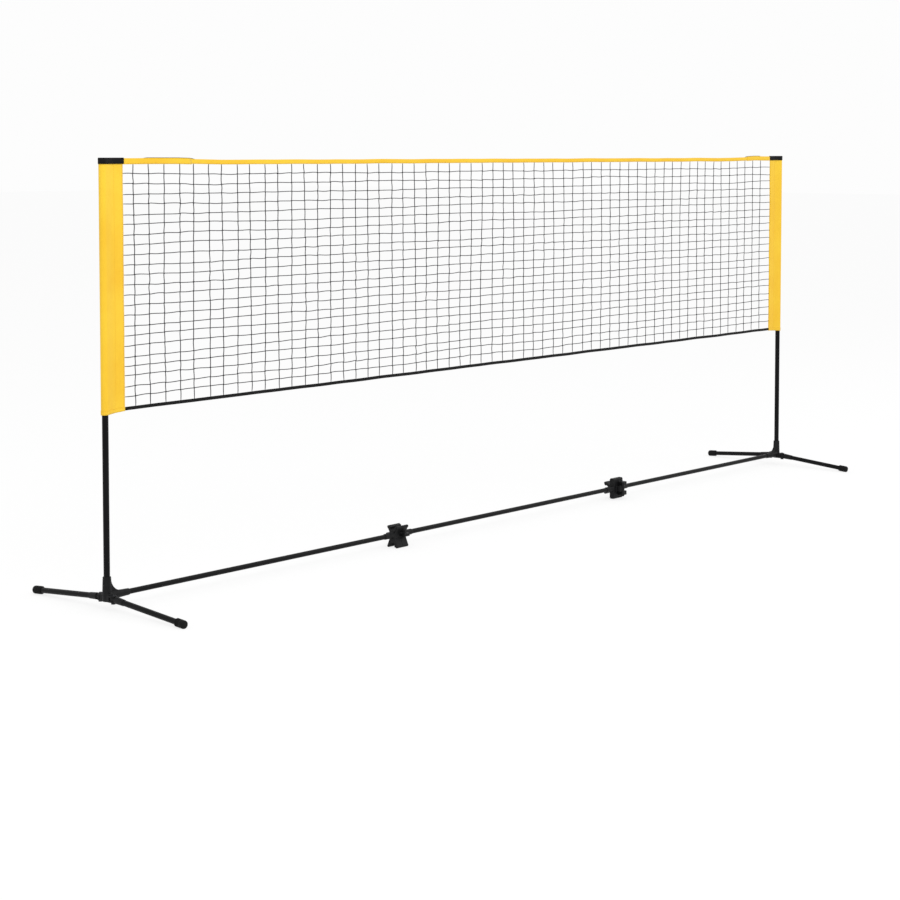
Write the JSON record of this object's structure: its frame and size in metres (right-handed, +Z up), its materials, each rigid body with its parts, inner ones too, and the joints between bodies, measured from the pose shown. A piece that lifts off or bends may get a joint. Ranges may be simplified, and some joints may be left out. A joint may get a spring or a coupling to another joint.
{
  "type": "volleyball net on poles",
  "caption": "Free-standing volleyball net with telescopic poles, folding floor bar, swing-out legs and a net that slides up and down on side sleeves.",
  "frame": {"origin": "on the floor, midway between the poles, in the plane of the net", "axes": "+X along the net, +Y to the side the first knuckle folds to, +Z up"},
  "size_m": [4.3046, 0.8098, 1.55],
  "materials": {
    "black_moulding": "moulded, fine grain",
    "black_coat": "satin powder coat",
    "pin_steel": "zinc plated",
    "tip_rubber": "matt",
    "yellow_cloth": "plain woven polyester",
    "black_webbing": "ribbed webbing",
    "net_cord": "knotted cord"
  },
  "bodies": {
    "frame_left": {"hub_left": "black_moulding", "lower_pole_left": "black_coat", "pole_guide_left": "black_moulding", "bar_left": "black_coat", "knuckle_1_left": "black_moulding", "leg_pin_left_front": "pin_steel", "leg_pin_left_back": "pin_steel"},
    "bar_middle": {"knuckle_1_right": "black_moulding", "knuckle_pin_1": "pin_steel", "bar_middle": "black_coat", "knuckle_2_left": "black_moulding"},
    "frame_right": {"knuckle_2_right": "black_moulding", "knuckle_pin_2": "pin_steel", "bar_right": "black_coat", "hub_right": "black_moulding", "lower_pole_right": "black_coat", "pole_guide_right": "black_moulding", "leg_pin_right_front": "pin_steel", "leg_pin_right_back": "pin_steel"},
    "button_left": {"snap_button_left": "pin_steel"},
    "button_right": {"snap_button_right": "pin_steel"},
    "leg_left_front": {"leg_eye_left_front": "black_moulding", "leg_tube_left_front": "black_coat", "leg_tip_left_front": "tip_rubber"},
    "leg_left_back": {"leg_eye_left_back": "black_moulding", "leg_tube_left_back": "black_coat", "leg_tip_left_back": "tip_rubber"},
    "leg_right_front": {"leg_eye_right_front": "black_moulding", "leg_tube_right_front": "black_coat", "leg_tip_right_front": "tip_rubber"},
    "leg_right_back": {"leg_eye_right_back": "black_moulding", "leg_tube_right_back": "black_coat", "leg_tip_right_back": "tip_rubber"},
    "upper_left": {"upper_pole_left": "black_coat", "pole_bush_left": "black_moulding", "pole_plug_left": "black_moulding", "sleeve_left": "yellow_cloth", "sleeve_cap_left": "black_webbing", "net_mesh": "net_cord", "top_tape": "yellow_cloth", "bottom_tape": "black_webbing"},
    "upper_right": {"upper_pole_right": "black_coat", "pole_bush_right": "black_moulding", "pole_plug_right": "black_moulding", "sleeve_right": "yellow_cloth", "sleeve_cap_right": "black_webbing"}
  },
  "joints": [
    {"name": "fold_1", "type": "hinge", "parent": "frame_left", "child": "bar_middle", "pos_m": [-0.67039, 0.038, 0.05], "axis": [0, 0, 1], "range_deg": [0, 160]},
    {"name": "fold_2", "type": "hinge", "parent": "bar_middle", "child": "frame_right", "pos_m": [0.78355, -0.038, 0.05], "axis": [0, 0, 1], "range_deg": [-160, 0]},
    {"name": "leg_swing_left_front", "type": "hinge", "parent": "frame_left", "child": "leg_left_front", "pos_m": [-2.135, -0.034, 0.044], "axis": [0, 0, 1], "range_deg": [0, 90]},
    {"name": "leg_swing_left_back", "type": "hinge", "parent": "frame_left", "child": "leg_left_back", "pos_m": [-2.135, 0.034, 0.044], "axis": [0, 0, -1], "range_deg": [0, 90]},
    {"name": "leg_swing_right_front", "type": "hinge", "parent": "frame_right", "child": "leg_right_front", "pos_m": [2.135, -0.034, 0.044], "axis": [0, 0, -1], "range_deg": [0, 90]},
    {"name": "leg_swing_right_back", "type": "hinge", "parent": "frame_right", "child": "leg_right_back", "pos_m": [2.135, 0.034, 0.044], "axis": [0, 0, 1], "range_deg": [0, 90]},
    {"name": "height_left", "type": "slide", "parent": "frame_left", "child": "upper_left", "axis": [0, 0, 1], "range_m": [-0.56, 0]},
    {"name": "height_right", "type": "slide", "parent": "frame_right", "child": "upper_right", "axis": [0, 0, 1], "range_m": [-0.56, 0]},
    {"name": "button_press_left", "type": "slide", "parent": "frame_left", "child": "button_left", "axis": [1, 0, 0], "range_m": [0, 0.004], "stiffness_N_per_m": 600},
    {"name": "button_press_right", "type": "slide", "parent": "frame_right", "child": "button_right", "axis": [-1, 0, 0], "range_m": [0, 0.004], "stiffness_N_per_m": 600}
  ],
  "couplings": [
    {"joint": "fold_2", "follows": "fold_1", "ratio": -1},
    {"joint": "height_right", "follows": "height_left", "ratio": 1}
  ]
}
